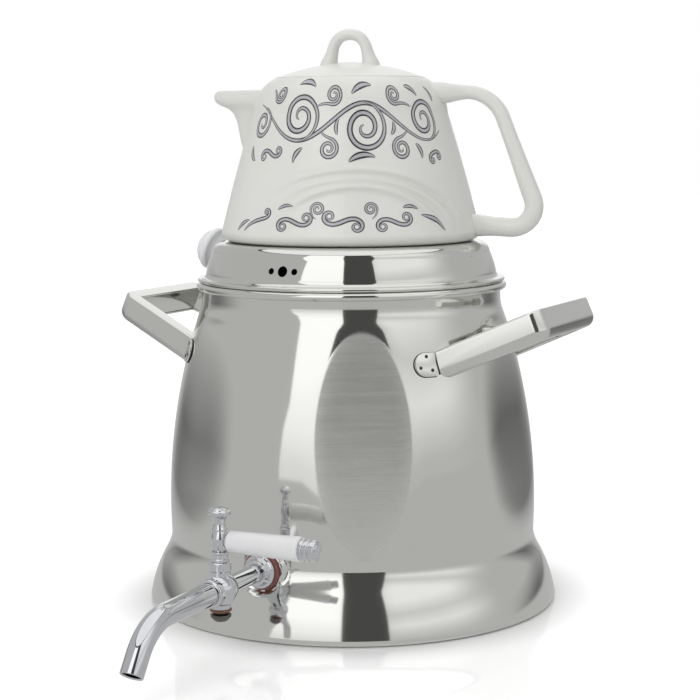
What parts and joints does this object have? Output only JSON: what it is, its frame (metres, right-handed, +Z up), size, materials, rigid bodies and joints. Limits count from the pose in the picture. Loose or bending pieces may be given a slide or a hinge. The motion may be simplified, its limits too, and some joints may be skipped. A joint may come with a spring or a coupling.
{
  "type": "kettle with tap and teapot",
  "caption": "Polished steel hob kettle with pressed panels, two loop handles, a plug tap with a lever, and a glazed teapot standing on its vented lift-off lid.",
  "frame": {"origin": "middle of the kettle's flat base, on the surface that it stands on", "axes": "+Z up along the kettle's axis, -Y along the tap, +X and -X along the two handles"},
  "size_m": [0.2724, 0.3562, 0.3259],
  "materials": {
    "polished_steel": "mirror polished, satin on the pressed panels",
    "base_steel": "turned satin",
    "handle_steel": "polished",
    "weld_marks": "pressed spot welds",
    "chrome_tap": "mirror",
    "zinc_screw": "zinc plated",
    "silicone_washer": "matt red-brown silicone",
    "brass": "machined",
    "copper_washer": "dull copper",
    "packing": "soft white packing",
    "spreader_aluminium": "rolled",
    "white_knob": "glossy white",
    "white_ceramic": "glazed",
    "teapot_glaze": "glossy glaze"
  },
  "bodies": {
    "kettle": {"kettle_shell": "polished_steel", "kettle_floor": "polished_steel", "heat_spreader": "spreader_aluminium", "base_cap": "base_steel", "left_handle_strap": "handle_steel", "left_handle_lining": "handle_steel", "left_handle_lugs": "handle_steel", "right_handle_strap": "handle_steel", "right_handle_lining": "handle_steel", "right_handle_lugs": "handle_steel", "left_lug_welds": "weld_marks", "right_lug_welds": "weld_marks", "left_lining_screws": "zinc_screw", "right_lining_screws": "zinc_screw", "tap_shank": "chrome_tap", "tap_flange": "chrome_tap", "outer_washer": "silicone_washer", "inner_washer": "silicone_washer", "lock_nut": "brass", "tap_body": "chrome_tap", "bonnet_nut": "chrome_tap", "gland_packing": "packing", "spout_collar": "chrome_tap", "tap_spout": "chrome_tap"},
    "tap_key": {"tap_plug": "brass", "stem_collar": "chrome_tap", "lever_hub": "chrome_tap", "plug_finial": "chrome_tap", "lever_arm": "zinc_screw", "lever_ferrule": "chrome_tap", "lever_grip": "white_ceramic", "lever_end_cap": "chrome_tap", "plug_washer": "copper_washer", "plug_nut": "zinc_screw"},
    "kettle_lid": {"kettle_lid": "polished_steel", "lid_knob": "white_knob", "knob_washer": "chrome_tap", "knob_screw": "zinc_screw"},
    "teapot": {"teapot_body": "teapot_glaze", "teapot_spout": "teapot_glaze", "teapot_handle": "teapot_glaze"},
    "teapot_lid": {"teapot_lid": "teapot_glaze", "teapot_lid_loop": "teapot_glaze"}
  },
  "joints": [
    {"name": "tap_turn", "type": "hinge", "parent": "kettle", "child": "tap_key", "pos_m": [0, -0.151, 0.0365], "axis": [0, 0, -1], "range_deg": [0, 90]},
    {"name": "kettle_lid_lift", "type": "slide", "parent": "kettle", "child": "kettle_lid", "axis": [0, 0, 1], "range_m": [0, 0.06]},
    {"name": "teapot_lift", "type": "slide", "parent": "kettle_lid", "child": "teapot", "axis": [0, 0, 1], "range_m": [0, 0.08]},
    {"name": "teapot_lid_lift", "type": "slide", "parent": "teapot", "child": "teapot_lid", "axis": [0, 0, 1], "range_m": [0, 0.05]}
  ]
}
